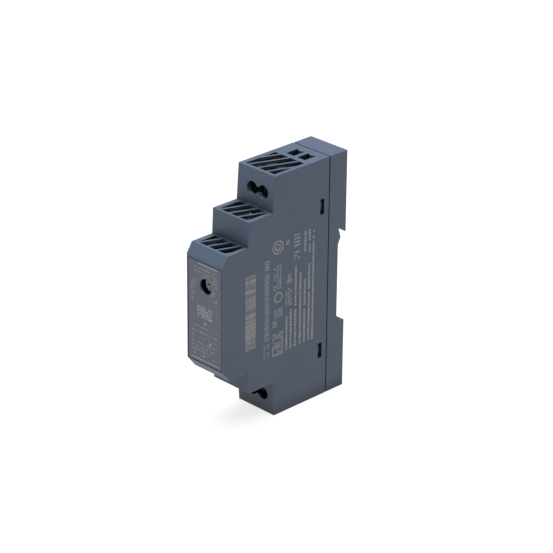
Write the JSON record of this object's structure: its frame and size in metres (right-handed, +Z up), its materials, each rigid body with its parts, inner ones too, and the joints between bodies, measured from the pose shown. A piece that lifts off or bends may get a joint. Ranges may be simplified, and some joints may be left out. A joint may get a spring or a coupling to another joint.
{
  "type": "din rail power supply",
  "caption": "Slim stepped power supply that hooks on a 35 mm top-hat rail, with screw terminals at both ends and a trimmer behind a hole in its nose.",
  "frame": {"origin": "middle of the width and of the height, on the flat back face that looks at the rail", "axes": "+X to the right seen from the front, +Y from the front towards the rail, +Z up"},
  "size_m": [0.0176, 0.0585, 0.09],
  "materials": {
    "housing_plastic": "finely textured, slate blue grey",
    "base_plastic": "finely textured, slate blue grey",
    "panel_plastic": "smooth matte, slate blue grey with printed marks",
    "lens_plastic": "smooth, translucent",
    "latch_plastic": "smooth matte",
    "board_laminate": "satin solder mask",
    "trimmer_plastic": "satin",
    "rotor_plastic": "satin",
    "led_resin": "clear resin",
    "terminal_plastic": "satin",
    "screw_steel": "zinc plated",
    "cage_steel": "nickel plated",
    "contact_brass": "tin-flashed brass",
    "ferrite": "dull sintered",
    "bobbin_plastic": "satin",
    "winding_tape": "polyester tape",
    "input_sleeve": "shrink sleeve",
    "output_sleeve": "shrink sleeve",
    "copper_wire": "enamelled copper",
    "shrink_sleeve": "shrink sleeve",
    "film_case": "moulded case",
    "blue_ceramic": "dipped epoxy coat",
    "green_ceramic": "dipped epoxy coat",
    "fuse_plastic": "moulded case",
    "package_resin": "moulded epoxy",
    "resistor_ceramic": "glass-coated"
  },
  "bodies": {
    "supply": {"front_housing": "housing_plastic", "rear_base": "base_plastic", "front_panel": "panel_plastic", "led_lens": "lens_plastic", "circuit_board": "board_laminate", "trimmer_body": "trimmer_plastic", "indicator_led": "led_resin", "output_terminal_block": "terminal_plastic", "input_terminal_block": "terminal_plastic", "output_contact_left": "contact_brass", "output_contact_right": "contact_brass", "input_contact_left": "contact_brass", "input_contact_right": "contact_brass", "transformer_core": "ferrite", "transformer_bobbin": "bobbin_plastic", "transformer_winding": "winding_tape", "input_capacitor_front": "input_sleeve", "input_capacitor_rear": "input_sleeve", "output_capacitor_front": "output_sleeve", "output_capacitor_rear": "output_sleeve", "choke_core": "ferrite", "choke_winding": "copper_wire", "output_inductor": "shrink_sleeve", "film_capacitor": "film_case", "safety_capacitor": "blue_ceramic", "varistor": "green_ceramic", "fuse": "fuse_plastic", "bridge_rectifier": "package_resin", "controller_chip": "package_resin", "optocoupler": "package_resin", "output_diode": "package_resin", "chip_resistors": "resistor_ceramic"},
    "latch": {"rail_latch": "latch_plastic"},
    "trimmer": {"trimmer_rotor": "rotor_plastic"},
    "output_screw_left": {"output_screw_left": "screw_steel"},
    "output_cage_left": {"output_cage_left": "cage_steel"},
    "output_screw_right": {"output_screw_right": "screw_steel"},
    "output_cage_right": {"output_cage_right": "cage_steel"},
    "input_screw_left": {"input_screw_left": "screw_steel"},
    "input_cage_left": {"input_cage_left": "cage_steel"},
    "input_screw_right": {"input_screw_right": "screw_steel"},
    "input_cage_right": {"input_cage_right": "cage_steel"}
  },
  "joints": [
    {"name": "latch_slide", "type": "slide", "parent": "supply", "child": "latch", "axis": [0, 0, -1], "range_m": [0, 0.0035], "stiffness_N_per_m": 1200, "springref_m": -0.001},
    {"name": "trimmer_turn", "type": "hinge", "parent": "supply", "child": "trimmer", "pos_m": [0.00045, -0.0524, 0.0094], "axis": [0, -1, 0], "range_deg": [-130, 130]},
    {"name": "output_screw_left_turn", "type": "hinge", "parent": "supply", "child": "output_screw_left", "pos_m": [-0.00175, -0.0213, 0.0379], "axis": [0, 1, 0], "range_deg": [0, 1440]},
    {"name": "output_cage_left_rise", "type": "slide", "parent": "supply", "child": "output_cage_left", "axis": [0, -1, 0], "range_m": [0, 0.0018]},
    {"name": "output_screw_right_turn", "type": "hinge", "parent": "supply", "child": "output_screw_right", "pos_m": [0.00355, -0.0213, 0.0379], "axis": [0, 1, 0], "range_deg": [0, 1440]},
    {"name": "output_cage_right_rise", "type": "slide", "parent": "supply", "child": "output_cage_right", "axis": [0, -1, 0], "range_m": [0, 0.0018]},
    {"name": "input_screw_left_turn", "type": "hinge", "parent": "supply", "child": "input_screw_left", "pos_m": [-0.00175, -0.0213, -0.0379], "axis": [0, 1, 0], "range_deg": [0, 1440]},
    {"name": "input_cage_left_rise", "type": "slide", "parent": "supply", "child": "input_cage_left", "axis": [0, -1, 0], "range_m": [0, 0.0018]},
    {"name": "input_screw_right_turn", "type": "hinge", "parent": "supply", "child": "input_screw_right", "pos_m": [0.00355, -0.0213, -0.0379], "axis": [0, 1, 0], "range_deg": [0, 1440]},
    {"name": "input_cage_right_rise", "type": "slide", "parent": "supply", "child": "input_cage_right", "axis": [0, -1, 0], "range_m": [0, 0.0018]}
  ],
  "couplings": [
    {"joint": "output_screw_left_turn", "follows": "output_cage_left_rise", "rad_per_m": 13963},
    {"joint": "output_screw_right_turn", "follows": "output_cage_right_rise", "rad_per_m": 13963},
    {"joint": "input_screw_left_turn", "follows": "input_cage_left_rise", "rad_per_m": 13963},
    {"joint": "input_screw_right_turn", "follows": "input_cage_right_rise", "rad_per_m": 13963}
  ]
}
